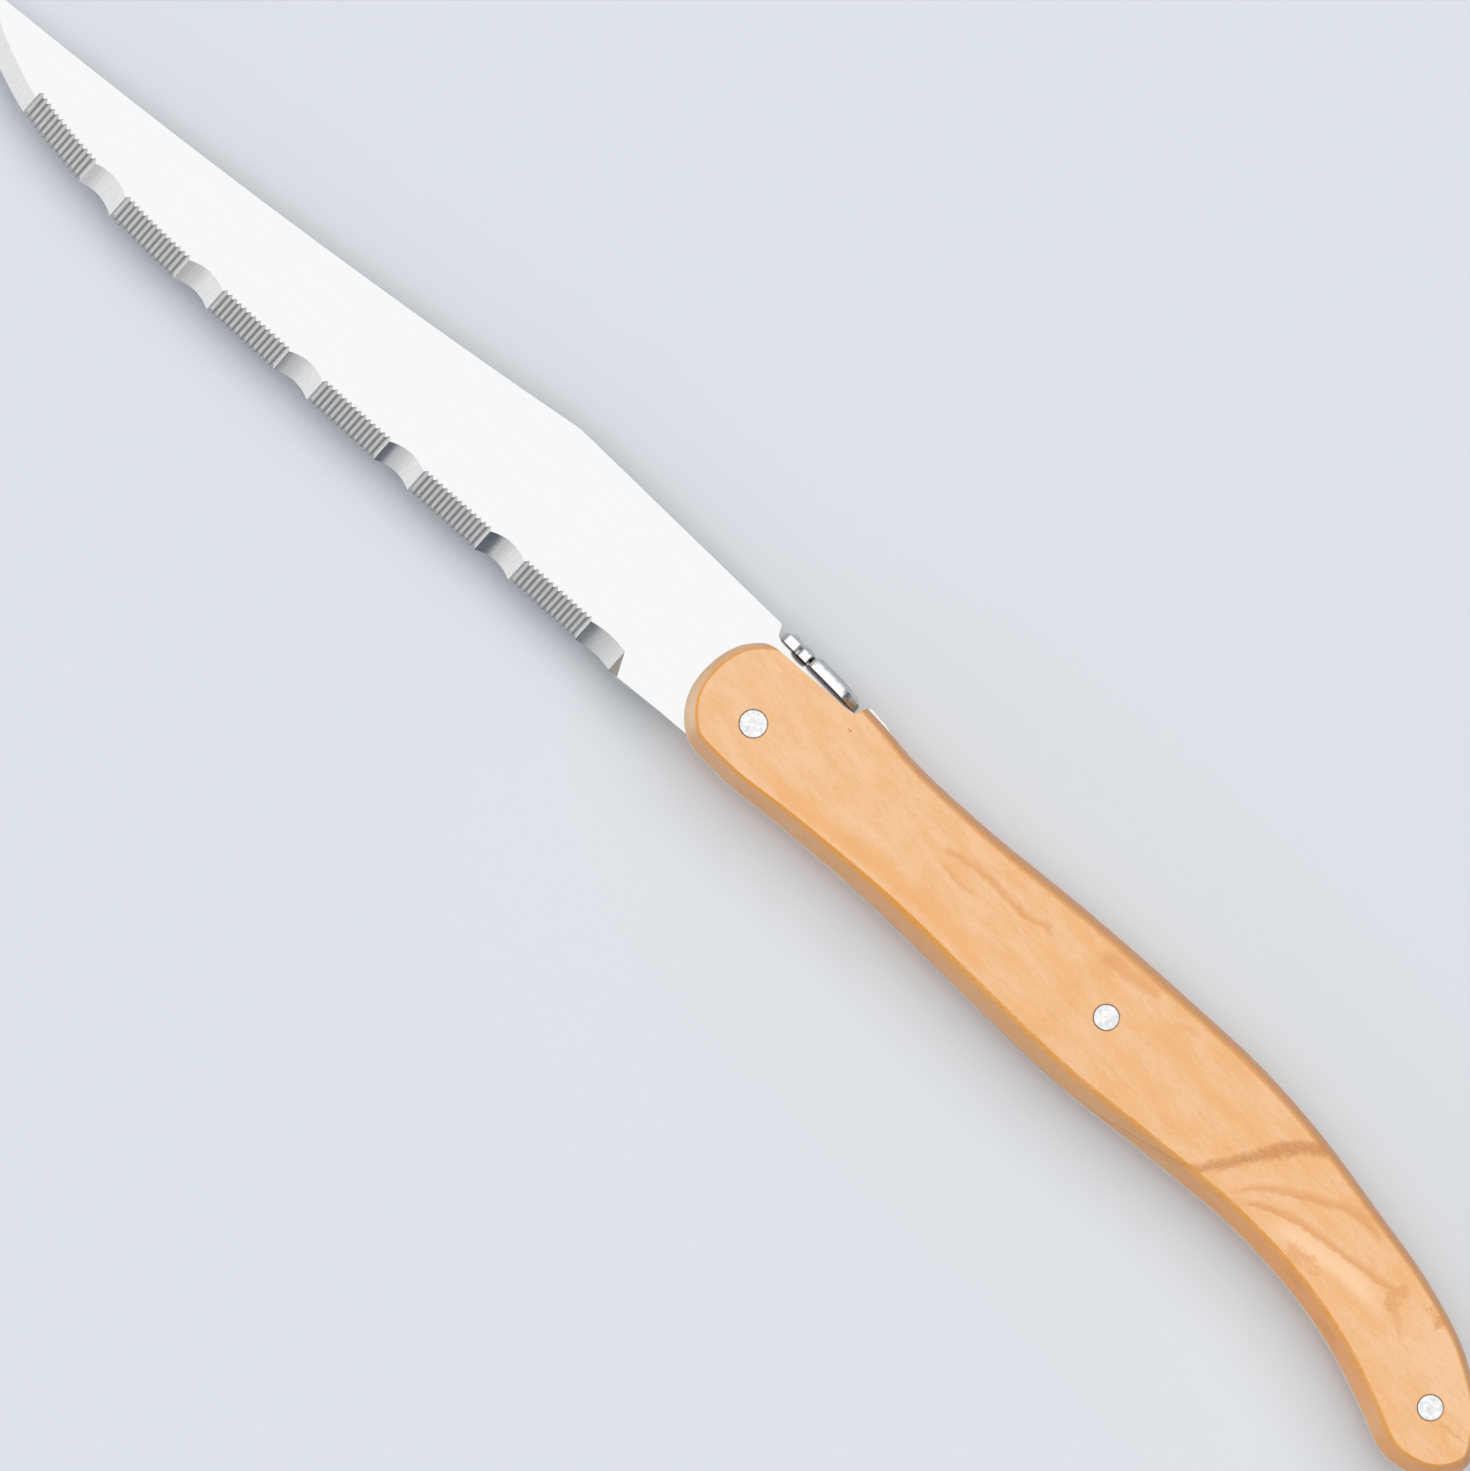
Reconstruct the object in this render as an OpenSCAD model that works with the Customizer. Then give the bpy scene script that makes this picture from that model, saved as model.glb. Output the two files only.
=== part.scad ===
// Steak knife with a serrated blade and a full tang. Two wooden scales lie on the tang,
// three peened rivets hold them, and a stamped bee plate sits on the back of the tang.
// The knife lies on its side as on a table: tip towards -X, back towards +Y, ground face up.
// The outlines are drawn from the front of the scales, at the level of the spine there,
// and the whole is then moved so that the middle of its underside is at the origin.

/* [Blade] */
// Length of the blade, from its tip to the front of the scales
blade_length = 109.6; // [100:0.1:120]
// Thickness of the blade and of its tang
blade_thickness = 1.5; // [1.2:0.1:2.4]
// Height of the blade where it goes between the scales
heel_height = 16.3; // [15:0.1:17.5]
// Distance from the scales to the corner where the spine begins to fall
spine_corner = 28.2; // [20:0.1:40]
// How far the spine drops on its way to that corner
corner_drop = 0.75; // [0.2:0.05:1.5]
// Hollow of the falling spine at the middle of its chord
spine_hollow = 0.93; // [0.2:0.01:1.6]

/* [Edge] */
// Width of the serrated bevel on the ground face
bevel_width = 2.5; // [1.8:0.05:3.5]
// Width of the plain bevel along the tip
tip_bevel_width = 1.9; // [1.5:0.05:3]
// Plain stretch from the tip to the first groove
plain_tip = 13.85; // [11:0.05:17]
// Least plain stretch left between the serrations and the scales
least_ricasso = 5; // [3:0.1:12]
// Number of fine grooves in each group
group_grooves = 14; // [6:1:20]
// Distance from one fine groove to the next
groove_pitch = 0.697; // [0.5:0.001:1.2]
// Depth of a fine groove, measured on the ground face
groove_depth = 0.48; // [0.2:0.01:0.7]
// Length of the smooth scallop after each group
scallop_length = 4.95; // [3:0.05:7]
// Depth of a scallop, measured on the ground face
scallop_depth = 0.62; // [0.3:0.01:1]
// Depth of the last scallop, where the grinding stops
last_scallop_depth = 0.28; // [0.1:0.01:1]
// Length of the slope where the grinding runs out towards the scales
run_out = 1.4; // [0.8:0.1:2.5]
// How far the grooves lean back from straight across the handle's line, in degrees
groove_lean = 3.5; // [0:0.5:8]

/* [Handle] */
// Length of the handle, from the front of the scales to the butt
handle_length = 120.4; // [110:0.1:130]
// Depth of the handle near its front, from back to belly
handle_depth = 16.6; // [15.5:0.1:18.5]
// Thickness of one scale
scale_thickness = 4.8; // [3.5:0.1:6.5]
// Width of the sloping side round a scale, at its front
front_slope = 1.05; // [0.5:0.05:1.6]
// Width of the sloping side at the grip
grip_slope = 1.8; // [0.8:0.05:2.4]
// Width of the sloping side at the butt
butt_slope = 1.35; // [0.6:0.05:1.8]

/* [Rivets] */
// Diameter of the front rivet's head
front_rivet_d = 3.2; // [2.4:0.05:4.5]
// Diameter of the heads of the middle rivet and the butt rivet
rear_rivet_d = 2.95; // [2.4:0.05:4.5]
// How much wider a peened head is than its shank
rivet_flare = 0.6; // [0.2:0.05:1]
// Depth of the countersink that a head fills
countersink = 0.9; // [0.4:0.05:1.6]
// Clearance all round a rivet
rivet_fit = 0.02; // [0.01:0.01:0.05]
// Small round-over at the rim of a head
rivet_rim = 0.12; // [0.05:0.01:0.2]
// How far a head lies below the face of the scale
rivet_sink = 0.03; // [0.01:0.01:0.1]

/* [Bee] */
// Length of the bee plate
bee_length = 11.4; // [9:0.1:14]
// Width of the bee plate across its wings
bee_width = 6.4; // [4.5:0.1:8]
// Thickness of the bee plate in the middle
bee_thickness = 1.6; // [1.3:0.05:2]
// Height of the straight rim round the bee
bee_rim = 1; // [0.6:0.05:1.2]
// Width of the rounding from the rim up to the top of the bee
bee_rounding = 1; // [0.4:0.05:1.4]
// Depth of the grooves that part head, thorax and wings
bee_groove = 0.35; // [0.1:0.05:0.5]
// How far the top of the bee stands above the spine of the blade
bee_rise = 0.3; // [0:0.05:0.6]
// How far the tang stands above the scales, just behind the bee
tang_lip = 0.3; // [0.1:0.05:0.5]
// Length over which the tang comes down level with the scales
lip_length = 4.8; // [2:0.1:6]
// Gap at each end of the bee
bee_gap = 0.1; // [0.05:0.05:0.4]
// How much farther back the bee's seat goes in the tang than in the scales
seat_setback = 0.35; // [0.1:0.05:0.5]
// Gap between the wings and the scales, at the head
head_clearance = 1.6; // [0.8:0.05:2]
// Gap between the wings and the scales, at the tail
tail_clearance = 0.65; // [0.2:0.05:1]

/* [Hidden] */
$fn = 48;

// What a cut runs past the body that it cuts
overrun = 1;
// Steel left outside the finished edge for the grinding to take away
grind_stock = 0.15;
// Where the spine ends behind the front of the scales, and the length of its step down to the bee
spine_end = 2.2;
spine_step = 1.1;
// How far the rear wall of the bee's seat leans back
seat_lean = 0.5;

// Steps along each stretch of a curve
curve_steps = 6;
arc_steps = 16;
scallop_steps = 10;

// Cutting edge from the tip to the serrations' end: shares of the blade's length, forwards from the scales,
// and of the heel's height, downwards from the spine
edge_shares = [
    [1, 0.81], [0.977, 0.944], [0.952, 1.041], [0.918, 1.128], [0.874, 1.214], [0.789, 1.276],
    [0.723, 1.294], [0.604, 1.268], [0.469, 1.214], [0.163, 1.08], [0.055, 1.034]
];

// Outline of the handle: shares of its length, backwards from the front, and of its depth, downwards.
// The back and the belly have as many points, so that they can be paired across the handle.
front_share = [0, 0.51];
back_shares = [
    [0.007, 0.3], [0.03, 0.12], [0.075, 0.02], [0.145, -0.01], [0.19, 0.012], [0.27, -0.01], [0.4, -0.11],
    [0.53, -0.18], [0.61, -0.207], [0.69, -0.177], [0.78, -0.085], [0.86, 0.012], [0.93, 0.18], [0.985, 0.475]
];
butt_share = [1, 0.69];
belly_shares = [
    [0.985, 0.9], [0.945, 1.015], [0.89, 0.895], [0.84, 0.78], [0.8, 0.72], [0.7, 0.675], [0.6, 0.74],
    [0.49, 0.835], [0.38, 0.862], [0.27, 0.876], [0.15, 0.945], [0.07, 1], [0.032, 0.972], [0.007, 0.79]
];

// Side of a scale: shares of its thickness, up from the tang, and of the slope's width, inwards
side_shares = [
    [0, 0], [0.3, 0.14], [0.6, 0.34], [0.84, 0.6], [0.93, 0.75], [0.98, 0.9], [1, 1]
];
// Where the slope is widest along the handle
grip_share = 0.4;

// Rivets: shares of the handle's length and depth
front_rivet_share = [0.066, 0.632];
middle_rivet_share = [0.4796, 0.329];
butt_rivet_share = [0.937, 0.611];

// The bee's plan on one side, from face to tail: shares of its length and of half its width
bee_plan_shares = [
    [0, 0], [0.01, 0.34], [0.033, 0.55], [0.07, 0.59], [0.12, 0.595], [0.18, 0.575], [0.205, 0.44],
    [0.229, 0.6], [0.275, 0.635], [0.334, 0.62], [0.357, 0.5], [0.382, 0.91], [0.43, 0.97], [0.52, 0.995],
    [0.62, 1], [0.74, 0.985], [0.83, 0.9], [0.91, 0.65], [0.97, 0.34], [1, 0]
];
// The grooves across the bee, between head and thorax and between thorax and wings: shares of its length
neck_share = 0.205;
waist_share = 0.357;
// The top of the tang's lip behind the bee, which ends inside the outline of the scales: shares of its length,
// and of its height above the scales
lip_shares = [[0, 1], [0.6, 0.65], [1, -0.2]];
// The rounding of the bee: shares of its height above the rim, and of its width inwards
bee_round_shares = [[0, 0], [0.42, 0.26], [0.74, 0.54], [0.93, 0.8], [1, 1]];

// A point from shares: backwards along the first size, downwards along the second
function placed(share, along, down) = [share.x * along, -share.y * down];

// Smooth curve through points, which are padded with one point before and two after the stretches drawn
function slope_at(a, b, c) =
    let (before = norm(b - a), after = norm(c - b))
    ((b - a) * after / before + (c - b) * before / after) / (before + after);
function between(a, b, c, d, t) =
    let (reach = norm(c - b), start = slope_at(a, b, c) * reach, end = slope_at(b, c, d) * reach)
    b * (2 * t ^ 3 - 3 * t ^ 2 + 1) + start * (t ^ 3 - 2 * t ^ 2 + t)
    + c * (3 * t ^ 2 - 2 * t ^ 3) + end * (t ^ 3 - t ^ 2);
function drawn(p) = [
    for (i = [1 : len(p) - 3])
    for (s = [0 : curve_steps - 1])
    between(p[i - 1], p[i], p[i + 1], p[i + 2], s / curve_steps)
];
function last(p) = p[len(p) - 1];
function open_curve(p) = concat(
    drawn(concat([2 * p[0] - p[1]], p, [2 * last(p) - p[len(p) - 2]])),
    [last(p)]
);
function closed_curve(p) = drawn(concat([last(p)], p, [p[0], p[1]]));

// Points of a shallow arc from a to b that bulges to the left of the way by rise
function arc(a, b, rise) =
    let (
        chord = norm(b - a),
        radius = (chord ^ 2 / 4 + rise ^ 2) / (2 * rise),
        along = (b - a) / chord,
        left = [-along.y, along.x],
        half_turn = asin(chord / (2 * radius)),
        centre = (a + b) / 2 + left * (rise - radius)
    )
    [
        for (i = [0 : arc_steps])
        let (turn = half_turn * (2 * i / arc_steps - 1))
        centre + radius * (along * sin(turn) + left * cos(turn))
    ];

// A clockwise loop moved inwards by the given width at each of its points
function inset(loop, widths) = [
    for (i = [0 : len(loop) - 1])
    let (
        way = loop[(i + 1) % len(loop)] - loop[(i + len(loop) - 1) % len(loop)],
        inwards = [way.y, -way.x] / norm(way)
    )
    loop[i] + inwards * widths[i]
];

// Blade: the edge, the spine and the plain stretch in front of the scales
edge_line = open_curve([for (s = edge_shares) placed([-s.x, s.y], blade_length, heel_height)]);
tip = edge_line[0];
edge_end = last(edge_line);
corner = [-spine_corner, -corner_drop];
falling_spine = arc(tip, corner, -spine_hollow);
tip_way = (tip - falling_spine[1]) / norm(tip - falling_spine[1]);
heel = [0, -heel_height];

// Serrations, counted to fit between the plain tip and the ricasso
group_length = group_grooves * groove_pitch;
group_pitch = group_length + scallop_length;
groups = floor((blade_length - plain_tip - least_ricasso - run_out) / group_pitch);
serration_start = plain_tip - blade_length;
serration_end = serration_start + groups * group_pitch;

// The bee's seat on the tang, and the recess in the scales below it
seat_level = bee_rise - bee_thickness;
seat_start = spine_end + spine_step;
seat_end = seat_start + bee_length + 2 * bee_gap;
tang_seat_end = seat_end + seat_setback;

// Handle: the loop of its outline, and the level of its parts when it lies on the right scale
handle_loop = closed_curve([
    for (s = concat([front_share], back_shares, [butt_share], belly_shares))
    placed(s, handle_length, handle_depth)
]);
back_line = [for (i = [0 : len(handle_loop) / 2]) handle_loop[i]];
handle_thickness = 2 * scale_thickness + blade_thickness;
face_level = scale_thickness + blade_thickness;

// Middle of the knife's outline, which is moved to the origin
middle = [
    (handle_length - blade_length) / 2,
    (max([for (p = handle_loop) p.y]) + min([for (p = edge_line) p.y])) / 2
];

// Width of the scale's sloping side at a place along the handle
function slope_width(x) =
    let (share = max(0, min(1, x / handle_length)))
    share < grip_share
        ? front_slope + (grip_slope - front_slope) * sin(90 * share / grip_share)
        : butt_slope + (grip_slope - butt_slope) * cos(90 * (share - grip_share) / (1 - grip_share));

// How far the grinding reaches past the bevel, along one group from its first groove to its scallop's end
function group_profile(scallop) = concat(
    [
        for (i = [0 : group_grooves - 1])
        for (side = [0, 1])
        [(i + side / 2) * groove_pitch, side * groove_depth]
    ],
    [
        for (i = [0 : scallop_steps - 1])
        let (share = i / scallop_steps)
        [group_length + share * scallop_length, 4 * share * (1 - share) * scallop]
    ]
);

// Upper limit of the serrated bevel on the ground face, with a run-out that goes on past the edge
serration_stop = [serration_end, lookup(serration_end, edge_line) + bevel_width];
serration_line = concat(
    [
        for (g = [0 : groups - 1])
        for (p = group_profile(g < groups - 1 ? scallop_depth : last_scallop_depth))
        let (x = serration_start + g * group_pitch + p.x)
        [x, lookup(x, edge_line) + bevel_width + p.y]
    ],
    [serration_stop, serration_stop + 2 * [run_out, -bevel_width - grind_stock]]
);

// Upper limit of the plain bevel at the tip, ground straight across and ended inside the first groove
tip_end = [serration_start, lookup(serration_start, edge_line)];
tip_lean = atan2(tip_end.y - tip.y, tip_end.x - tip.x);
tip_stop = serration_start + groove_pitch / 2;
tip_edge = [for (p = edge_line) if (p.x > tip.x && p.x < serration_start) p];
tip_line = [
    for (p = concat([2 * tip - tip_edge[0]], tip_edge, [[tip_stop, lookup(tip_stop, edge_line)]]))
    p + tip_bevel_width * [-sin(tip_lean), cos(tip_lean)]
];

// What one pass of grinding takes off: all that lies outside a slope from the line, on the ground face at
// level zero, down to the back face, which it meets the given width further on. The pass runs downwards in
// the outline, turned by the given angle.
function turned(p, angle) = [p.x * cos(angle) - p.y * sin(angle), p.x * sin(angle) + p.y * cos(angle)];
module grinding(line, width, angle) {
    steepness = atan2(blade_thickness, width);
    far = blade_length * sin(steepness);
    profile = [
        for (p = line)
        let (q = turned(p, -angle))
        [q.x, -q.y * sin(steepness)]
    ];
    rotate([0, 0, angle])
    rotate([90 + steepness, 0, 0])
    translate([0, 0, -blade_length])
    linear_extrude(height = 2 * blade_length)
    polygon(concat(profile, [[last(profile).x, far], [profile[0].x, far]]));
}

// Outline of the blade up to a point between the scales, with the stock that the grinding takes away
module blade_outline() {
    join = placed(front_rivet_share, handle_length, handle_depth);
    heel_way = (heel - edge_end) / (heel.x - edge_end.x);
    step = [
        for (i = [0 : arc_steps])
        let (share = i / arc_steps)
        [spine_end + share * spine_step, seat_level * (1 - cos(180 * share)) / 2]
    ];
    polygon(concat(
        [tip + tip_way * grind_stock],
        [for (i = [1 : arc_steps]) falling_spine[i]],
        step,
        [[join.x, seat_level], [join.x, heel.y + heel_way.y * join.x], heel],
        [for (i = [len(edge_line) - 1 : -1 : 0]) edge_line[i] - [0, grind_stock]]
    ));
}

// Room for the bee above a floor that runs from one level at the head to another at the tail, where it ends
module bee_room(front_level, rear_level, end) {
    top = handle_depth;
    polygon([
        [-overrun, front_level], [seat_start, front_level], [end, rear_level],
        [end + seat_lean * (top - rear_level) / bee_thickness, top], [-overrun, top]
    ]);
}

// What the tang has above the outline of the scales, behind the bee
module lip_outline() {
    top = [
        for (s = lip_shares)
        let (x = tang_seat_end + s.x * lip_length)
        [x, lookup(x, back_line) + s.y * tang_lip]
    ];
    polygon(concat(top, [[last(top).x, seat_level], [tang_seat_end, seat_level]]));
}

// Places a child drawn in the knife's outline at a level above the table
module laid(level) {
    translate([-middle.x, -middle.y, level]) children();
}

module rivet_place(share) {
    p = placed(share, handle_length, handle_depth);
    translate([p.x, p.y, 0]) children();
}

// Holes for the three shanks, through a plate that stands on level zero
module shank_holes(height) {
    for (rivet = [
        [front_rivet_share, front_rivet_d],
        [middle_rivet_share, rear_rivet_d],
        [butt_rivet_share, rear_rivet_d]
    ])
    rivet_place(rivet[0])
    translate([0, 0, -overrun])
    cylinder(d = rivet[1] - rivet_flare + 2 * rivet_fit, h = height + 2 * overrun);
}

// Countersinks for the three heads, in the face of a scale that stands on level zero
module head_seats() {
    widening = rivet_flare * overrun / countersink;
    for (rivet = [
        [front_rivet_share, front_rivet_d],
        [middle_rivet_share, rear_rivet_d],
        [butt_rivet_share, rear_rivet_d]
    ])
    rivet_place(rivet[0])
    translate([0, 0, scale_thickness - countersink])
    cylinder(
        d1 = rivet[1] - rivet_flare + 2 * rivet_fit,
        d2 = rivet[1] + widening + 2 * rivet_fit,
        h = countersink + overrun
    );
}

module blade() {
    color("gainsboro")
    laid(face_level)
    difference() {
        translate([0, 0, -blade_thickness])
        linear_extrude(height = blade_thickness)
        union() {
            blade_outline();
            difference() {
                union() {
                    polygon(handle_loop);
                    lip_outline();
                }
                bee_room(seat_level, seat_level, tang_seat_end);
            }
        }
        grinding(serration_line, bevel_width, groove_lean);
        grinding(tip_line, tip_bevel_width, tip_lean);
        translate([0, 0, -blade_thickness]) shank_holes(blade_thickness);
    }
}

// A plate standing on level zero: rings that go over from its clockwise outline to an inner one as they rise,
// with flat faces. The outline has its second half opposite its first, so that rungs can join them.
module rounded_plate(outer, inner, rise) {
    count = len(outer);
    rings = [
        for (r = rise)
        [for (p = outer * (1 - r.y) + inner * r.y) [p.x, p.y, r.x]]
    ];
    top = (len(rings) - 1) * count;
    sides = [
        for (ring = [0 : len(rings) - 2])
        for (i = [0 : count - 1])
        let (a = ring * count + i, b = ring * count + (i + 1) % count)
        each [[a, b, b + count], [a, b + count, a + count]]
    ];
    rungs = [
        for (i = [0 : count / 2 - 1])
        each [[i, i + 1, count - i - 1], [i, count - i - 1, (count - i) % count]]
    ];
    flat = [for (r = rungs) if (r[0] != r[1] && r[1] != r[2] && r[0] != r[2]) r];
    polyhedron(
        points = [for (ring = rings) each ring],
        faces = concat(
            sides,
            [for (r = flat) [r[2], r[1], r[0]]],
            [for (r = flat) [top + r[0], top + r[1], top + r[2]]]
        )
    );
}

module scale_blank() {
    difference() {
        rounded_plate(
            handle_loop,
            inset(handle_loop, [for (p = handle_loop) slope_width(p.x)]),
            [for (s = side_shares) [s.x * scale_thickness, s.y]]
        );
        translate([0, 0, -overrun])
        linear_extrude(height = scale_thickness + 2 * overrun)
        bee_room(seat_level - head_clearance, seat_level - tail_clearance, seat_end);
        shank_holes(scale_thickness);
        head_seats();
    }
}

module left_scale() {
    color("burlywood")
    laid(face_level)
    scale_blank();
}

module right_scale() {
    color("burlywood")
    laid(scale_thickness)
    mirror([0, 0, 1])
    scale_blank();
}

// A groove with a right-angled floor, cut to the bee groove's depth below a crest at level zero
module bee_cut(length) {
    side = bee_groove * sqrt(2);
    rotate([45, 0, 0])
    translate([-length / 2, -side / 2, -side / 2])
    cube([length, side, side]);
}

// The bee lies on the tang's edge, its plan across the handle, with a groove between its folded wings
module bee() {
    side = [for (s = bee_plan_shares) [s.x * bee_length, s.y * bee_width / 2]];
    far_side = [for (i = [len(side) - 2 : -1 : 1]) [side[i].x, -side[i].y]];
    plan = closed_curve(concat(side, far_side));
    half = [bee_length, bee_width] / 2;
    shrink = [1 - bee_rounding / half.x, 1 - bee_rounding / half.y];
    top = [for (p = plan) [half.x + (p.x - half.x) * shrink.x, p.y * shrink.y]];
    dome = bee_thickness - bee_rim;
    wings = (1 - waist_share) * bee_length;
    color("silver")
    laid(face_level - blade_thickness / 2)
    translate([seat_start + bee_gap, seat_level, 0])
    rotate([-90, 0, 0])
    difference() {
        rounded_plate(
            plan,
            top,
            concat([[0, 0]], [for (s = bee_round_shares) [bee_rim + s.x * dome, s.y]])
        );
        for (share = [neck_share, waist_share])
        translate([share * bee_length, 0, bee_thickness])
        rotate([0, 0, 90])
        bee_cut(bee_width + 2 * overrun);
        translate([waist_share * bee_length + wings / 2 + overrun, 0, bee_thickness])
        bee_cut(wings + 2 * overrun);
    }
}

// A rivet from face to face of the handle: a straight shank that swells into its two peened heads
module rivet(share, head_d) {
    shank = (head_d - rivet_flare) / 2;
    head = head_d / 2;
    low = rivet_sink;
    high = handle_thickness - rivet_sink;
    swell = countersink - rivet_sink;
    laid(0)
    rivet_place(share)
    rotate_extrude()
    polygon([
        [0, low], [head - rivet_rim, low], [head - rivet_rim / 2, low + rivet_rim / 2],
        [shank, low + swell], [shank, high - swell],
        [head - rivet_rim / 2, high - rivet_rim / 2], [head - rivet_rim, high], [0, high]
    ]);
}

module front_rivet() {
    color("whitesmoke") rivet(front_rivet_share, front_rivet_d);
}

module middle_rivet() {
    color("whitesmoke") rivet(middle_rivet_share, rear_rivet_d);
}

module butt_rivet() {
    color("whitesmoke") rivet(butt_rivet_share, rear_rivet_d);
}

blade();
left_scale();
right_scale();
bee();
front_rivet();
middle_rivet();
butt_rivet();
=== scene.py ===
"""Looks of a steak knife with a serrated blade and riveted olive-wood scales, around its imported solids."""

import functools
import math

import bmesh
import bpy
from mathutils import Matrix, Vector, kdtree, noise


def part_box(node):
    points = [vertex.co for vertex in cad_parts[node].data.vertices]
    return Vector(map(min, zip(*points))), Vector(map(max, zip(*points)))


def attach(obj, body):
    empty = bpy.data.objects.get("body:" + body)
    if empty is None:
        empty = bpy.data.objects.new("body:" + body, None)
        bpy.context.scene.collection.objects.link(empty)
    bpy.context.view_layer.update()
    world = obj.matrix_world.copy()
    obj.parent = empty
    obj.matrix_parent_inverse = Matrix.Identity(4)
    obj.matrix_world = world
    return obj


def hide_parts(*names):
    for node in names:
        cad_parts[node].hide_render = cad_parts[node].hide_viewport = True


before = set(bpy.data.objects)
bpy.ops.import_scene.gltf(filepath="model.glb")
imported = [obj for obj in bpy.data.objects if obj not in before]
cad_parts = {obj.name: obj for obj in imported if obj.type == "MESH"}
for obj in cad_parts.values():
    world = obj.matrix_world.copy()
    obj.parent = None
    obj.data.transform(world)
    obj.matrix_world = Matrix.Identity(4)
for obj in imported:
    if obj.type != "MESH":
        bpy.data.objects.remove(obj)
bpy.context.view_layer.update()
MM = 0.001
RIVETS = ("front_rivet", "middle_rivet", "butt_rivet")


# Numbers and colours in node trees

def tone(red, green, blue):
    """A colour given in the 0 to 255 steps of a picture, as the linear colour that shaders take."""
    steps = [c / 255 for c in (red, green, blue)]
    return (*[c / 12.92 if c <= 0.04045 else ((c + 0.055) / 1.055) ** 2.4 for c in steps], 1)


class Wire:
    """A number or colour that a node gives, with the sums that patterns need."""

    def __init__(self, net, socket):
        self.net = net
        self.socket = socket

    def sum_with(self, operation, *others):
        node = self.net.add("ShaderNodeMath", operation=operation)
        for value, socket in zip((self, *others), node.inputs):
            self.net.join(value, socket)
        return Wire(self.net, node.outputs[0])

    def __add__(self, other):
        return self.sum_with("ADD", other)

    def __sub__(self, other):
        return self.sum_with("SUBTRACT", other)

    def __mul__(self, other):
        return self.sum_with("MULTIPLY", other)

    def size(self):
        return self.sum_with("ABSOLUTE")

    def larger(self, other):
        return self.sum_with("MAXIMUM", other)

    def step(self, low, high, start=0.0, end=1.0, shape="SMOOTHSTEP"):
        """Goes from start to end as the number goes from low to high."""
        node = self.net.add("ShaderNodeMapRange", interpolation_type=shape)
        self.net.join(self, node.inputs["Value"])
        for name, value in zip(("From Min", "From Max", "To Min", "To Max"), (low, high, start, end)):
            self.net.join(value, node.inputs[name])
        return Wire(self.net, node.outputs["Result"])

    def drawn(self, points):
        """The height of a smooth line through points, at this number along it."""
        along = [p[0] for p in points]
        heights = [p[1] for p in points]
        node = self.net.add("ShaderNodeFloatCurve")
        curve = node.mapping.curves[0]
        for _ in points[1:-1]:
            curve.points.new(0.5, 0.5)
        for spot, p in zip(curve.points, points):
            spot.location = (
                (p[0] - along[0]) / (along[-1] - along[0]),
                (p[1] - min(heights)) / (max(heights) - min(heights)),
            )
        node.mapping.update()
        self.net.join(self.step(along[0], along[-1], shape="LINEAR"), node.inputs["Value"])
        return Wire(self.net, node.outputs[0]) * (max(heights) - min(heights)) + min(heights)


class Net:
    """The nodes of a material, or of the sky."""

    def __init__(self, owner):
        owner.use_nodes = True
        self.owner = owner
        self.tree = owner.node_tree
        self.shader = next(n for n in self.tree.nodes if n.type in ("BSDF_PRINCIPLED", "BACKGROUND"))

    def add(self, kind, **settings):
        node = self.tree.nodes.new(kind)
        for name, value in settings.items():
            setattr(node, name, value)
        return node

    def join(self, value, socket):
        if isinstance(value, Wire):
            self.tree.links.new(value.socket, socket)
        else:
            socket.default_value = value

    def set(self, **inputs):
        """Sets the shader's own inputs, named with underscores for spaces."""
        for name, value in inputs.items():
            self.join(value, self.shader.inputs[name.replace("_", " ")])

    def axes(self, vector):
        parts = self.add("ShaderNodeSeparateXYZ")
        self.tree.links.new(vector, parts.inputs[0])
        return [Wire(self, s) for s in parts.outputs]

    def place(self):
        """Place on the knife, in millimetres along its axes."""
        scaled = self.add("ShaderNodeVectorMath", operation="SCALE")
        self.tree.links.new(self.add("ShaderNodeTexCoord").outputs["Object"], scaled.inputs[0])
        scaled.inputs["Scale"].default_value = 1 / MM
        return self.axes(scaled.outputs[0])

    def facing(self):
        """Which way the surface faces, along the knife's axes."""
        return self.axes(self.add("ShaderNodeTexCoord").outputs["Normal"])

    def painted(self, name):
        """A number that the mesh itself holds at each of its points."""
        return Wire(self, self.add("ShaderNodeAttribute", attribute_name=name).outputs["Fac"])

    def cloud(self, x, y, z, detail=3.0, roughness=0.55):
        """Soft random numbers round one half, at a place that is already stretched."""
        where = self.add("ShaderNodeCombineXYZ")
        for value, socket in zip((x, y, z), where.inputs):
            self.join(value, socket)
        node = self.add("ShaderNodeTexNoise")
        self.tree.links.new(where.outputs[0], node.inputs["Vector"])
        node.inputs["Scale"].default_value = 1.0
        node.inputs["Detail"].default_value = detail
        node.inputs["Roughness"].default_value = roughness
        return Wire(self, node.outputs["Fac"])

    def mix(self, share, low, high):
        """One colour with a share of another. The node's sockets for colours are known by number."""
        node = self.add("ShaderNodeMix", data_type="RGBA")
        for value, number in zip((share, low, high), (0, 6, 7)):
            self.join(value, node.inputs[number])
        return Wire(self, node.outputs[2])

    def bump(self, height, strength, depth):
        """Unevenness of the given depth in millimetres."""
        node = self.add("ShaderNodeBump")
        node.inputs["Strength"].default_value = strength
        node.inputs["Distance"].default_value = depth * MM
        self.join(height, node.inputs["Height"])
        self.tree.links.new(node.outputs["Normal"], self.shader.inputs["Normal"])


def new_material(name):
    return Net(bpy.data.materials.new(name))


# Materials

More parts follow.
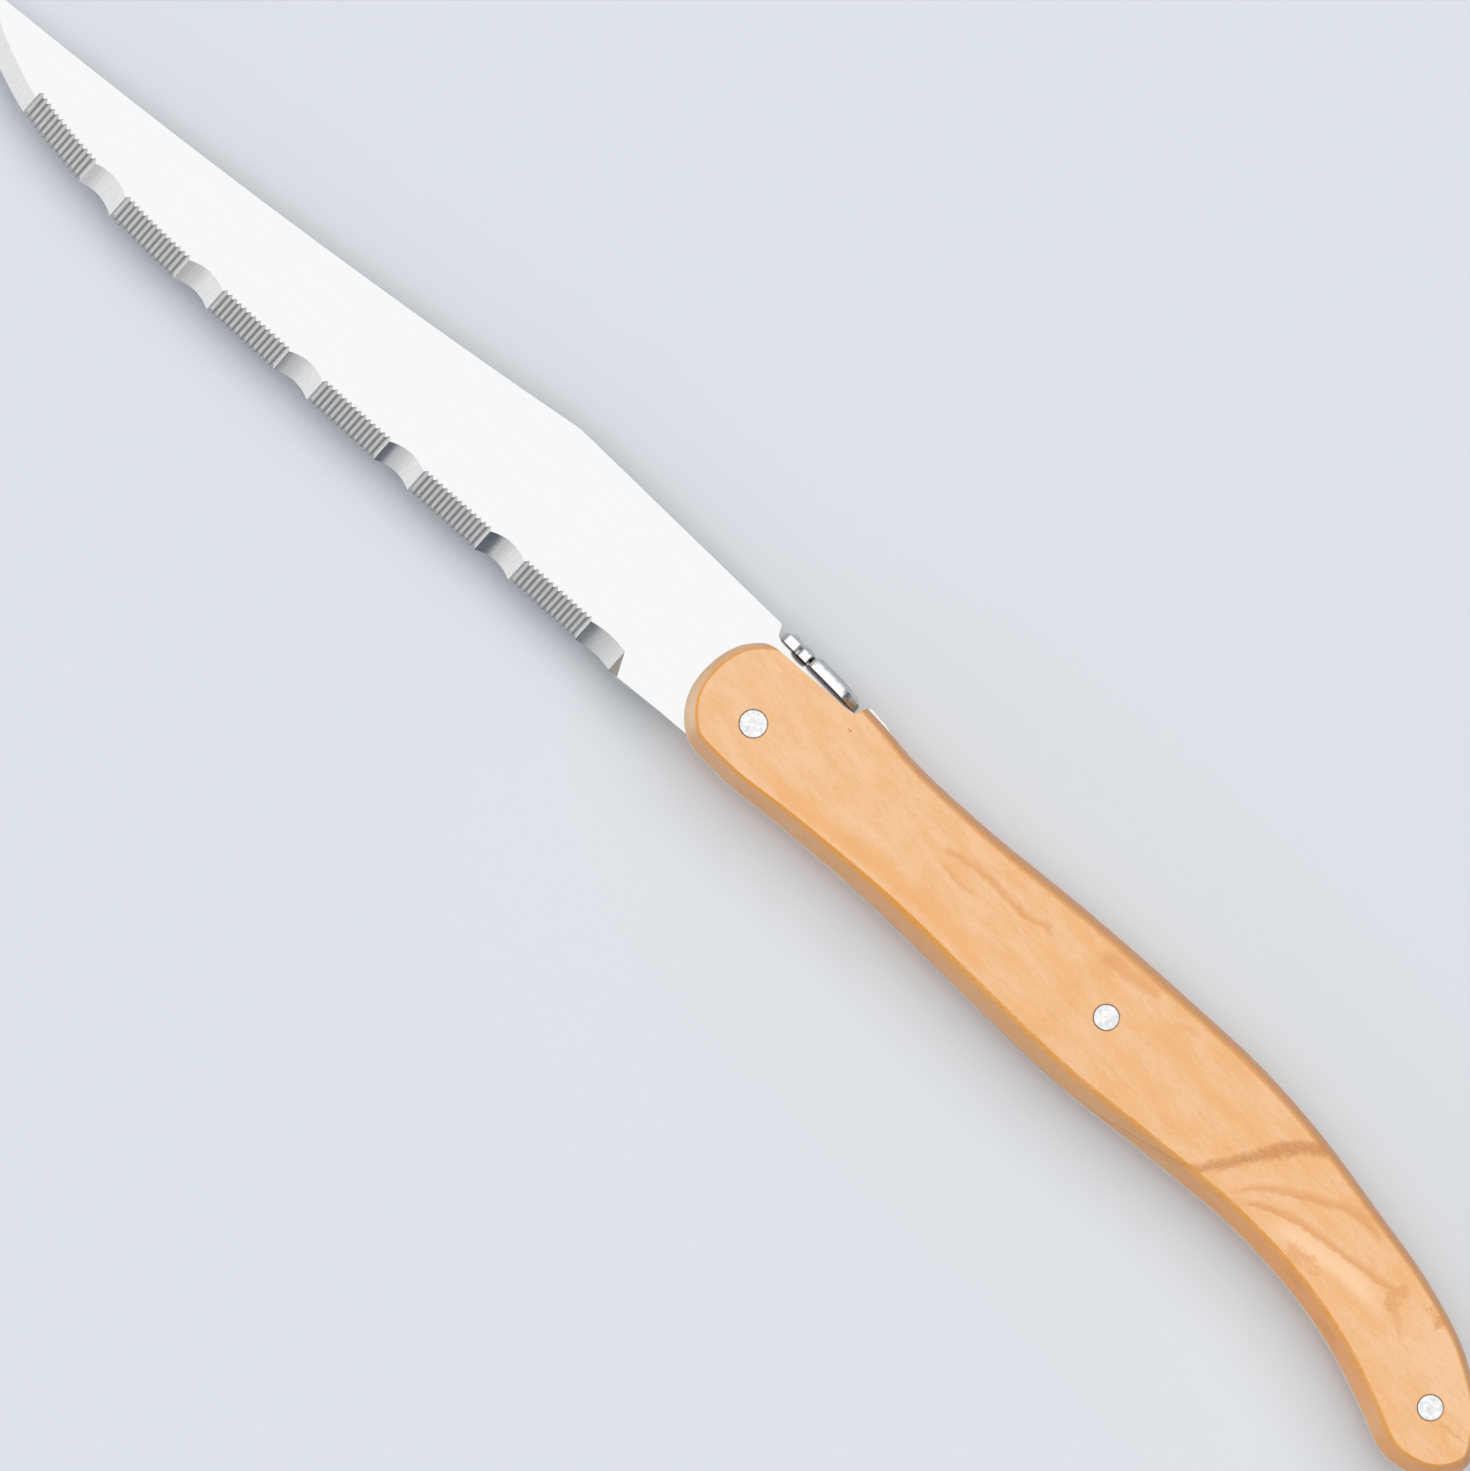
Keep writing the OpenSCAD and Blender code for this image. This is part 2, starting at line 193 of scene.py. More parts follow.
WOOD = tone(240, 180, 119)
WOOD_PALE = tone(246, 196, 149)
WOOD_PALEST = tone(252, 206, 160)
WOOD_GRAIN = tone(218, 158, 104)
WOOD_STREAK = tone(210, 143, 87)
WOOD_LINE = tone(222, 146, 80)
WOOD_DARK = tone(140, 90, 56)
WOOD_CREASE_HIGHLIGHT = tone(236, 160, 70)
WOOD_SIDE_SHADE = tone(214, 150, 98)
WOOD_FRONT_LIGHT = tone(255, 214, 170)
WOOD_RUST = tone(250, 165, 88)
WOOD_RICH = tone(240, 170, 96)

STEEL_FLAT = tone(185, 185, 185)
STEEL_WORN = tone(189, 189, 189)
STEEL_BEVEL = tone(226, 226, 226)
STEEL_BRIGHT = tone(238, 238, 238)
STEEL_VALLEY = tone(223, 220, 217)
STEEL_RIDGE_SHADE = tone(164, 158, 155)
STEEL_END_SHADE = tone(176, 166, 155)
STEEL_EDGE_SHADE = tone(84, 54, 40)
STEEL_DARK_MARK = tone(58, 47, 38)

RIVET_DULL = tone(176, 178, 179)
RIVET_BRIGHT = tone(203, 204, 203)
BEE_BRIGHT = tone(204, 203, 201)
BEE_SHADE = tone(62, 54, 50)

# Marks on the steel, in millimetres: how strong the painted reflection of shade on the tang's belly edge
# between the scales is along the belly, the heights over which it fades in, the lower edge of the dark mark
# under the bee's neck, and how that mark fades in and out along the knife and over that edge
JOINT_SHADE = [(22, 0), (27, 1), (34, 1), (38, 0.4), (42, 0.5), (46, 1), (51, 1), (56, 0)]
JOINT_HEIGHTS = (5.6, 6.1)
DARK_MARK_EDGE = [(-0.3, 7.6), (0.9, 7.0), (2.4, 7.3)]
DARK_MARK_START, DARK_MARK_END, DARK_MARK_BLUR = (-0.3, 0.1), (1.8, 2.2), (-0.1, 0.2)

# Figure of the wood, in millimetres, as the upper scale shows it. A turned figure is counted from its end.
FIGURE_END = 112.0
# One broad streak crosses it, leans forward as it goes deeper and widens towards the back. Thin lines lie
# behind it at the side.
CROSS_STREAK = [(-3.6, 69.2), (-1.5, 70.8), (3.2, 73.9), (5.2, 75.1), (8.4, 77.2), (10.6, 80.2)]
STREAK_LEAN = 2.4
STREAK_WIDENS, STREAK_HALF_WIDTHS, STREAK_BLUR = (2.0, 9.0), (0.3, 0.8), (-0.25, 0.85)
STREAK_LINES = (1.7, 3.2)
STREAK_LINE_BLUR, STREAK_LINE_DEPTHS = (0.1, 0.4), (0.5, 1.2)
# Finer lines sweep along it, each with its half width and strength, and fade out over the given length
SWEPT_LINES = [
    ([(75.1, -0.9), (77.5, 2.2), (80.7, 4.5), (83.1, 5.9), (85.6, 7.2), (87.8, 7.8), (91.3, 7.6)],
     0.95, 0.55),
    ([(76.6, -0.9), (80.1, 1.5), (83.4, 2.6), (87.5, 3.3), (91.6, 4.0), (94.3, 4.4), (97.4, 6.2)],
     0.75, 0.6),
    ([(26.1, 3.1), (29.1, 4.2), (32.1, 4.7), (38.6, 4.8), (40.6, 5.5), (42.4, 5.0)], 0.7, 0.55),
    ([(27.2, 2.7), (30.5, 2.2), (33.5, 2.6)], 0.5, 0.4),
    ([(46.5, 7.7), (52.8, 8.6), (55.5, 9.5)], 1.6, 0.5),
    ([(57.5, 8.0), (61.5, 9.3)], 0.9, 0.35),
    ([(93.6, 4.6), (95.4, 4.0), (97.6, 2.9), (100.6, 1.2)], 0.7, 0.35),
    ([(108.5, -1.9), (113.5, -1.5)], 0.3, 0.5),
]
LINE_ENDS = 1.6
# Bands, each with its half width and the length over which its ends fade
PALE_BAND = ([(79.0, -0.4), (83.4, 1.0), (87.5, 1.6), (92.0, 2.2), (97.5, 1.6)], 2.0, 5.0)
RICH_BAND = ([(4.0, -5.0), (14.0, -4.4), (22.0, -3.4), (30.0, -2.6), (42.0, -2.4)], 1.8, 7.0)
# Smudges, and marks at the side, each with its middle, reach and strength
SMUDGES = [
    ((86.0, 0.2, 0.0), (2.6, 1.3, 3.0), 0.35), ((101.2, 6.0, 0.0), (1.9, 1.0, 3.0), 0.7),
    ((96.4, 4.6, 0.0), (1.3, 2.0, 3.0), 0.5), ((10.4, 5.4, 0.0), (0.4, 0.22, 1.0), 0.9),
]
SIDE_MARKS = [((87.2, -2.0, 1.5), (2.2, 2.5, 0.9), 0.5), ((93.6, -3.4, 2.7), (2.6, 2.5, 1.4), 0.4)]
# Where the wood darkens behind its pale front and pales again at the butt and towards the back, where the
# rust under the belly begins, where the crease's painted highlight fades, and painted shade round a rivet
PALE_FRONT, PALE_BUTT, PALE_BACK = (0.0, 62.0), (93.0, 104.0), (-3.0, 2.0)
RUST_START, CREASE_END, RIVET_RING = (66.0, 84.0), (32.0, 48.0), (0.04, 0.24)


def plain_wood(net, place, grain, flecks, speckle):
    """The wood's own tones: pale clouds, grain and specks."""
    along, y, depth = place
    mottle = net.cloud(along * 0.16, y * 0.42, depth * 0.42, 5.0, 0.62)
    pale = mottle.step(0.34, 0.66, 0.0, 0.75) + along.step(*PALE_FRONT, 0.35, 0.0)
    pale = pale + along.step(*PALE_BUTT, 0.0, 0.6) * y.step(*PALE_BACK)
    colour = net.mix(pale, WOOD, WOOD_PALE)
    colour = net.mix(grain.step(0.48, 0.72) * 0.2, colour, WOOD_GRAIN)
    colour = net.mix(flecks.step(0.64, 0.76) * 0.3, colour, WOOD_GRAIN)
    colour = net.mix(speckle.step(0.52, 0.74) * 0.25, colour, WOOD_GRAIN)
    return net.mix(speckle.step(0.28, 0.48, 0.3, 0.0), colour, WOOD_PALE)


def figured_wood(net, place, ragged, speckle, colour):
    """Bands, the streak, swept lines, smudges and marks, all with ragged edges."""
    along, y, depth = place

    def line(points, half_width, ends):
        gap = y + ragged * 1.2 - along.drawn(points)
        within = gap.step(-0.6 * half_width, 0.0) * gap.step(0.0, 1.4 * half_width, 1.0, 0.0)
        first, last = points[0][0], points[-1][0]
        return within * along.step(first, first + ends) * along.step(last - ends, last, 1.0, 0.0)

    def mark(middle, reach, strength):
        parts = [(a - m) * (1 / r) for a, m, r in zip(place, middle, reach)]
        far = parts[0] * parts[0] + parts[1] * parts[1] + parts[2] * parts[2]
        return (far + ragged * 4.5).step(0.1, 0.9, strength, 0.0)

    colour = net.mix(line(*PALE_BAND), colour, WOOD_PALEST)
    colour = net.mix(line(*RICH_BAND) * 0.6, colour, WOOD_RICH)
    behind = along + depth * STREAK_LEAN + ragged * 1.6 - y.drawn(CROSS_STREAK)
    streak = behind.size() - y.step(*STREAK_WIDENS, *STREAK_HALF_WIDTHS)
    dark = streak.step(*STREAK_BLUR, 1.0, 0.0) * speckle.step(0.25, 0.7, 0.65, 1.0)
    for offset in STREAK_LINES:
        thin = (behind - offset).size().step(*STREAK_LINE_BLUR, 0.7, 0.0)
        dark = dark.larger(thin * depth.step(*STREAK_LINE_DEPTHS))
    colour = net.mix(dark, colour, WOOD_STREAK)
    fine = [line(points, half_width, LINE_ENDS) * strength for points, half_width, strength in SWEPT_LINES]
    fine += [mark(*smudge) for smudge in SMUDGES]
    colour = net.mix(functools.reduce(Wire.larger, fine), colour, WOOD_LINE)
    for side_mark in SIDE_MARKS:
        colour = net.mix(mark(*side_mark), colour, WOOD_DARK)
    return colour


def wood_painted_light_and_rust(net, along, speckle, colour):
    """Painted shade on the sides, rust under the belly, painted light on the front, and a painted highlight
    along the crease where the faces round over.
    """
    facing = net.facing()
    level = facing[2].size()
    sideways = level.step(0.4, 0.9, 1.0, 0.0)
    turned_up = (facing[1] + facing[0] * 0.5).step(-0.6, 0.6, 0.5, 0.9)
    # painted shade: the sides are darker, most where they face the back and least towards the tip
    colour = net.mix(sideways * turned_up * facing[0].step(-0.9, -0.4, 0.2, 1.0), colour, WOOD_SIDE_SHADE)
    belly = facing[1].step(-0.3, 0.1, 1.0, 0.0)
    colour = net.mix(sideways * belly * along.step(*RUST_START, 0.0, 0.5), colour, WOOD_RUST)
    # painted light: the sides that face the tip are paler
    front = facing[0].step(-0.8, -0.2, 1.0, 0.0)
    painted_front_light = front * level.step(0.6, 0.95, 1.0, 0.0) * facing[1].step(-0.6, 0.2, 1.0, 0.0)
    colour = net.mix(painted_front_light, colour, WOOD_FRONT_LIGHT)
    # painted highlight along the crease where the faces round over
    crease = level.step(0.3, 0.65) * level.step(0.95, 0.998, 1.0, 0.0)
    crease_highlight = speckle.step(0.3, 0.65, 0.4, 1.0).larger(belly.larger(front) * along.step(*CREASE_END, 1.0, 0.0))
    crease_highlight = crease_highlight * (facing[1] + facing[0] * 0.6).step(-0.3, 0.3, 1.0, 0.5)
    return net.mix(crease * crease_highlight, colour, WOOD_CREASE_HIGHLIGHT)


def ringed_wood(net, x, y, ragged, colour):
    """Painted shade of uneven strength in the gaps round the rivets."""
    level = net.facing()[2].size()
    strength = ragged.step(-0.2, 0.2, 0.1, 0.5)
    for node in RIVETS:
        low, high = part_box(node)
        centre = (low + high) / (2 * MM)
        dx, dy = x - centre.x, y - centre.y
        reach = (dx * dx + dy * dy).sum_with("SQRT") - (high.x - low.x) / (2 * MM)
        ring = reach.step(*RIVET_RING, 1.0, 0.0) * strength
        colour = net.mix(ring * level.step(0.6, 0.9), colour, WOOD_DARK)
    return colour


def wood(name, side, turned):
    """Olive wood, oiled and worn smooth. side is the height of the scale's outer face in millimetres, and
    turned shows the figure from the other end, because the two scales are cut from different places."""
    net = new_material(name)
    x, y, z = net.place()
    depth = (z - side).size()
    along = x * -1.0 + FIGURE_END if turned else x
    place = (along, y, depth)
    ragged = net.cloud(along * 0.8, y * 0.8, depth * 0.8, 5.0, 0.7) - 0.5
    grain = net.cloud(along * 0.3, y * 1.9 + along * 0.12, depth * 1.9, 4.0, 0.6)
    flecks = net.cloud(along * 0.6, y * 5.5 + along * 0.3, depth * 5.5, 2.0)
    speckle = net.cloud(along * 1.5, y * 2.6, depth * 2.6, 3.0, 0.65)

    colour = plain_wood(net, place, grain, flecks, speckle)
    colour = figured_wood(net, place, ragged, speckle, colour)
    colour = wood_painted_light_and_rust(net, along, speckle, colour)
    colour = ringed_wood(net, x, y, ragged, colour)
    net.set(Base_Color=colour, Roughness=grain.step(0.3, 0.8, 0.44, 0.58), Specular_IOR_Level=0.3)
    net.bump(grain * 0.6 + flecks * 0.4, 0.25, 0.06)
    return net.owner


def steel():
    """Blade steel: polished flats with fine lengthwise marks, a ground bevel, and grooves with painted shade
    on their ridges. Facets that face the tip carry painted shade, the tang's belly edge a painted reflection
    of shade, and the flat under the bee's neck a dark mark."""
    net = new_material("blade_steel")
    x, y, z = net.place()
    facing = net.facing()
    flat = facing[2].size().step(0.9, 0.97)
    polish = net.cloud(x * 0.25, y * 14.0, z * 14.0, 3.0, 0.6)
    ground = net.cloud(x * 16.0, y * 0.6, z * 0.6, 3.0, 0.6)
    handling = net.cloud(x * 0.05, y * 0.12, z * 0.12, 2.0)
    polished = net.mix(polish.step(0.3, 0.75), STEEL_FLAT, STEEL_WORN)
    bevel = net.mix(ground.step(0.3, 0.7), STEEL_BEVEL, STEEL_BRIGHT)
    groove = net.painted("groove")
    # painted shade on the ridges of the fine grooves
    bevel = net.mix(groove, bevel, net.mix(net.painted("ridge"), STEEL_VALLEY, STEEL_RIDGE_SHADE))
    # painted shade on the facets that face the tip
    bevel = net.mix(facing[0].step(-0.72, -0.64, 1.0, 0.0), bevel, STEEL_END_SHADE)
    # painted reflection of shade on the tang's edge that faces the belly, between the scales
    edge_shade = x.drawn(JOINT_SHADE) * z.step(*JOINT_HEIGHTS) * facing[1].step(-0.9, -0.7, 1.0, 0.0)
    # a dark mark on the flat under the bee's neck
    dark_mark = (y - x.drawn(DARK_MARK_EDGE)).step(*DARK_MARK_BLUR) * flat
    dark_mark = dark_mark * x.step(*DARK_MARK_START) * x.step(*DARK_MARK_END, 1.0, 0.0)
    colour = net.mix(edge_shade, net.mix(flat, bevel, polished), STEEL_EDGE_SHADE)
    net.set(
        Base_Color=net.mix(dark_mark * 0.9, colour, STEEL_DARK_MARK), Metallic=1.0,
        Roughness=flat.step(0.0, 1.0, 0.17, 0.15) + handling.step(0.45, 0.75, 0.0, 0.05) + groove * 0.28,
    )
    net.bump(polish * flat + ground * flat.step(0.0, 1.0, 1.0, 0.0), 0.08, 0.01)
    return net.owner


def peened():
    """Rivet metal, bright on the hammered heads."""
    net = new_material("rivet_metal")
    x, y, z = net.place()
    dents = net.cloud(x * 2.2, y * 2.2, z * 2.2, 2.0)
    scuffs = net.cloud(x * 9.0, y * 9.0, z * 9.0, 3.0)
    colour = net.mix(dents.step(0.3, 0.7), RIVET_DULL, RIVET_BRIGHT)
    net.set(Base_Color=colour, Metallic=1.0, Roughness=scuffs.step(0.3, 0.75, 0.28, 0.45))
    net.bump(scuffs, 0.25, 0.02)
    return net.owner


def stamped():
    """Polished stamped metal of the bee, with painted shade in its grooves and underneath."""
    net = new_material("bee_metal")
    x, y, z = net.place()
    grit = net.cloud(x * 7.0, y * 7.0, z * 7.0, 3.0)
    # painted shade under the bee and in its grooves
    under = net.facing()[1].step(-0.8, -0.4, 1.0, 0.0)
    painted_shade = under.larger(net.painted("hollow").step(0.15, 0.8))
    net.set(
        Base_Color=net.mix(painted_shade, BEE_BRIGHT, BEE_SHADE), Metallic=1.0,
        Roughness=grit.step(0.3, 0.7, 0.16, 0.3) + painted_shade * 0.2,
    )
    net.bump(grit, 0.2, 0.02)
    return net.owner


# Pieces

# How near points are one, in metres, and how far the walls of the blade's fine grooves lean along the knife
# and face up
TOUCH = 1e-7
GROOVE_LEAN, GROOVE_UP = (0.4, 0.66), 0.5


def add_piece(name, mesh, node, material):
    mesh.materials.append(material)
    piece = bpy.data.objects.new(name, mesh)
    bpy.context.scene.collection.objects.link(piece)
    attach(piece, "root")
    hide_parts(node)
    return piece


def shaded(bm, name, soft, rounded=()):
    """A mesh that is smooth along its rounded edges and where faces meet at less than the soft angle."""
    mesh = bpy.data.meshes.new(name)
    bm.normal_update()
    for f in bm.faces:
        f.smooth = True
    for e in bm.edges:
        e.smooth = e in rounded or e.calc_face_angle(0.0) < math.radians(soft)
    bm.to_mesh(mesh)
    bm.free()
    return mesh


def joined(node):
    """The faces of a solid, joined up again and without the cuts across flat faces."""
    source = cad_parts[node].data
    bm = bmesh.new()
    spots = [bm.verts.new(v.co) for v in source.vertices]
    for p in source.polygons:
        bm.faces.new([spots[i] for i in p.vertices])
    bmesh.ops.remove_doubles(bm, verts=bm.verts, dist=TOUCH)
    bmesh.ops.dissolve_limit(bm, angle_limit=math.radians(0.1), verts=bm.verts, edges=bm.edges)
    return bm


def ground_blade():
    """The blade, with the walls of its fine grooves marked by their slope, and its valleys rounded."""
    bm = joined("blade")
    bm.normal_update()
    groove = bm.faces.layers.float.new("groove")
    ridge = bm.verts.layers.float.new("ridge")
    least, most = GROOVE_LEAN
    walls = {f for f in bm.faces if least < abs(f.normal.x) < most and f.normal.z > GROOVE_UP}
    valleys = set()
    for f in walls:
        f[groove] = 1.0
    for e in bm.edges:
        if walls.issuperset(e.link_faces):
            if e.calc_face_angle_signed() < 0:
                valleys.add(e)
            else:
                for v in e.verts:
                    v[ridge] = 1.0
    return shaded(bm, "blade_ground", soft=12, rounded=valleys)


def even_normals(piece):
    """Keeps large flat faces flat where they meet a rounded edge."""
    weighted = piece.modifiers.new("even normals", "WEIGHTED_NORMAL")
    weighted.keep_sharp = True


# A rivet's head: the width and depth of its rounded rim, how far the shank is set back, how long the head
# tapers and how deep its dents are, in millimetres, the number of dents along a metre, how far apart the
# rivets' dents are drawn from the noise, the power by which they fade at the rim, and how finely a head is
# divided
RIM, SETBACK, TAPER, DENT = 0.06, 0.24, 0.87, 0.07
DENTS, DENTS_APART, DENTS_FADE = 1500, 3.7, 6
HEAD_RINGS, HEAD_SPOTS = 7, 48


def rivet(node, seed):
    """A rivet with two hammered heads, in the place of its solid."""
    low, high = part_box(node)
    centre = (low + high) / 2
    head = (high.x - low.x) / 2
    flat = head - RIM * MM
    rings = [(flat * i / HEAD_RINGS, 0.0) for i in range(1, HEAD_RINGS + 1)]
    rings += [(head - RIM / 3 * MM, RIM / 3 * MM), (head, RIM * MM), (head - SETBACK * MM, TAPER * MM)]
    bm = bmesh.new()
    shank = []
    for base, way in ((low.z, 1), (high.z, -1)):

        def spot(radius, rise, turn):
            p = Vector((radius * math.cos(turn), radius * math.sin(turn), 0))
            inside = max(0.0, 1 - (radius / flat) ** DENTS_FADE)
            dent = 0.5 + 0.5 * noise.noise(p * DENTS + Vector((seed, seed, base / MM)))
            depth = rise + dent * inside * DENT * MM
            return bm.verts.new((centre.x + p.x, centre.y + p.y, base + way * depth))

        middle = spot(0, 0, 0)
        loops = [[spot(r, h, 2 * math.pi * i / HEAD_SPOTS) for i in range(HEAD_SPOTS)] for r, h in rings]
        for i in range(HEAD_SPOTS):
            j = (i + 1) % HEAD_SPOTS
            bm.faces.new((middle, loops[0][i], loops[0][j]))
            for a, b in zip(loops, loops[1:]):
                bm.faces.new((a[i], b[i], b[j], a[j]))
        shank.append(loops[-1])
    lower, upper = shank
    for i in range(HEAD_SPOTS):
        j = (i + 1) % HEAD_SPOTS
        bm.faces.new((upper[i], lower[i], lower[j], upper[j]))
    bmesh.ops.recalc_face_normals(bm, faces=bm.faces)
    return shaded(bm, node + "_peened", soft=38)


# The bee's neck, waist and eyes, as shares of its length, and its wings' veins, as shares of its half width
NECK, WAIST, EYES = 0.205, 0.357, 0.1
VEINS = (0.34, 0.58, 0.8)
# In millimetres: the height of its rim, the reach of its rounding, the least thickness under a groove, and
# where and how large an eye is. The power of the rounding follows, then the depth and half width of each
# groove, and the radians of the hatching's wave to a millimetre.
BEE_RIM, BEE_ROUNDING, BEE_LEAST = 1.0, 1.1, 0.5
EYE_ASIDE, EYE_RADIUS = 0.85, 0.5
BEE_CURVE = 1.7
NECK_GROOVE, WAIST_GROOVE, WING_GROOVE = (0.16, 0.24), (0.34, 0.3), (0.32, 0.24)
VEIN_GROOVE, HATCH_GROOVE, EYE_GROOVE = (0.1, 0.13), (0.08, 0.5), (0.12, 0.14)
HATCHING = 7
OUTLINE_STEPS, STATIONS, STRIPS = 2000, 170, 40
END_GAP = 0.001


def cut_by(size, distance):
    """How deep a groove of the given size goes at a distance from its middle, in millimetres."""
    depth, reach = size
    return depth * max(0.0, 1 - abs(distance) / (reach * MM))


def stamping(x, b, half, length):
    """How deep the stamping goes, in millimetres, at x along a bee of the given length and b across it. half
    is half the bee's width there."""
    depths = [cut_by(NECK_GROOVE, x - NECK * length), cut_by(WAIST_GROOVE, x - WAIST * length)]
    if x > WAIST * length:
        depths.append(cut_by(WING_GROOVE, b))
        depths += [cut_by(VEIN_GROOVE, abs(b) - vein * half) for vein in VEINS]
    elif x > NECK * length:
        depths += [cut_by(HATCH_GROOVE, math.sin((x + way * b) / MM * HATCHING) * MM) for way in (1, -1)]
    else:
        eye = math.hypot(x - EYES * length, abs(b) - EYE_ASIDE * MM)
        depths.append(cut_by(EYE_GROOVE, eye - EYE_RADIUS * MM))
    return max(depths)


def bee():
    """A stamped bee: a head with eyes, a hatched thorax, and veined wings folded over the body."""
    low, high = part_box("bee")
    length = high.x - low.x
    mid = (low.z + high.z) / 2
    foot = [v.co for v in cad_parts["bee"].data.vertices if v.co.y - low.y < TOUCH]
    side = sorted({(round(c.x - low.x, 7), round(c.z - mid, 7)) for c in foot if c.z > mid - TOUCH})

    def half_width(x):
        for (a, start), (b, end) in zip(side, side[1:]):
            if a < b and x <= b:
                return start + (end - start) * (x - a) / (b - a)
        return side[-1][1]

    places = [length * i / OUTLINE_STEPS for i in range(OUTLINE_STEPS + 1)]
    outline = [Vector((x, half_width(x), 0)) for x in places]
    near = kdtree.KDTree(2 * len(outline))
    for i, p in enumerate(outline):
        near.insert(p, 2 * i)
        near.insert((p.x, -p.y, 0), 2 * i + 1)
    near.balance()

    dome = (high.y - low.y) / MM - BEE_RIM
    bm = bmesh.new()
    hollow = bm.verts.layers.float.new("hollow")
    top, base = [], []
    for i in range(STATIONS + 1):
        x = length * (END_GAP + (1 - 2 * END_GAP) * i / STATIONS)
        half = half_width(x)
        row = []
        for j in range(STRIPS + 1):
            b = half * math.sin(math.pi * (j / STRIPS - 0.5))
            inside = min(1.0, near.find((x, b, 0))[2] / (BEE_ROUNDING * MM))
            rounded = BEE_RIM + dome * (1 - (1 - inside) ** BEE_CURVE)
            cut = stamping(x, b, half, length)
            spot = bm.verts.new((low.x + x, low.y + max(BEE_LEAST, rounded - cut) * MM, mid + b))
            spot[hollow] = cut / WAIST_GROOVE[0]
            row.append(spot)
        top.append(row)
        base.append([bm.verts.new((low.x + x, low.y, mid + b)) for b in (-half, half)])
    for i in range(STATIONS):
        for j in range(STRIPS):
            bm.faces.new((top[i][j], top[i][j + 1], top[i + 1][j + 1], top[i + 1][j]))
        for j, k in ((0, 0), (STRIPS, 1)):
            bm.faces.new((top[i][j], top[i + 1][j], base[i + 1][k], base[i][k]))
        bm.faces.new((base[i][0], base[i][1], base[i + 1][1], base[i + 1][0]))
    for row, foot_row in ((top[0], base[0]), (top[-1], base[-1])):
        bm.faces.new([*row, foot_row[1], foot_row[0]])
    bmesh.ops.recalc_face_normals(bm, faces=bm.faces)
    return shaded(bm, "bee_stamped", soft=50)


upper_face, lower_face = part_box("left_scale")[1].z / MM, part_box("right_scale")[0].z / MM
for node, material in (
    ("left_scale", wood("olive_wood_left", upper_face, turned=False)),
    ("right_scale", wood("olive_wood_right", lower_face, turned=True)),
):
    name = node + "_wood"
    even_normals(add_piece(name, shaded(joined(node), name, soft=40), node, material))
add_piece("blade_ground", ground_blade(), "blade", steel())
add_piece("bee_stamped", bee(), "bee", stamped())
rivet_metal = peened()
for number, node in enumerate(RIVETS):
    add_piece(node + "_peened", rivet(node, DENTS_APART * number), node, rivet_metal)


# Studio

# A dim room with a plain pale floor and a large soft light overhead. A pale reflector and a dark flag before
# part of it stand at the near side, and show in reflections alone.
FLOOR = tone(221, 225, 228)
FLAG = tone(84, 93, 108)
REFLECTOR = tone(30, 30, 30)
REFLECTOR_LIGHT = tone(251, 253, 255)
# How brightly the reflector glows along the knife, and the cards' places, in millimetres
REFLECTOR_GLOW = [
    (-700, 0.92), (-240, 0.93), (-120, 0.91), (-62, 0.84), (-25, 0.71), (5, 0.64), (50, 0.59),
    (90, 0.5), (250, 0.35),
]
REFLECTOR_PLACE = {"left": -700, "right": 250, "near": -328, "low": 60, "high": 400}
FLAG_PLACE = {"left": 10.4, "right": 110, "near": -144, "low": 78, "high": 140}
# Half the floor's width in metres, and how far it lies below the knife, so that the two don't flicker
FLOOR_REACH, FLOOR_DROP = 4, 0.05 * MM
ROOM_DIM = (0.145, 0.18, 0.235, 1.0)
ROOM_PALE = (0.6, 0.64, 0.68, 1.0)
ROOM_NEAR = (0.4, 0.44, 0.5, 1.0)
ROOM_CORNER = (1.0, 1.04, 1.08, 1.0)
SOFT_LIGHT = (1.9, 1.9, 1.9, 1.0)
# How far the soft light leans towards the knife's back, and where it starts to fade and ends, from its middle
SOFT_LEAN, SOFT_INNER, SOFT_OUTER = [math.radians(a) for a in (10.0, 29.0, 48.0)]
# The camera: the middle of the picture, its width there, the distance, and the sensor's width in millimetres,
# how far the camera leans towards the cutting edge, and how far the picture is turned
VIEW_MIDDLE = Vector((2.056, -3.453, 6.3)) * MM
VIEW_WIDTH, VIEW_DISTANCE, SENSOR = 160.47 * MM, 2.4, 36
VIEW_LEAN, VIEW_TURN = math.radians(6.5), math.radians(45.48)


def add_card(name, corners, material):
    mesh = bpy.data.meshes.new(name)
    mesh.from_pydata(corners, [], [(0, 1, 2, 3)])
    mesh.materials.append(material)
    card = bpy.data.objects.new(name, mesh)
    bpy.context.scene.collection.objects.link(card)
    return card


def mirrored_only(card):
    """Lets a card show in reflections alone, without lighting the floor and the wood or casting a shadow."""
    card.visible_camera = False
    card.visible_diffuse = False
    card.visible_shadow = False


def add_floor():
    net = new_material("floor")
    net.set(Base_Color=FLOOR, Roughness=0.9, Specular_IOR_Level=0.1)
    ends = ((-1, -1), (1, -1), (1, 1), (-1, 1))
    add_card("floor", [(a * FLOOR_REACH, b * FLOOR_REACH, -FLOOR_DROP) for a, b in ends], net.owner)


def upright(left, right, near, low, high):
    """Corners of an upright card that faces the back of the knife, given in millimetres."""
    ends = ((left, low), (right, low), (right, high), (left, high))
    return [Vector((x, near, z)) * MM for x, z in ends]


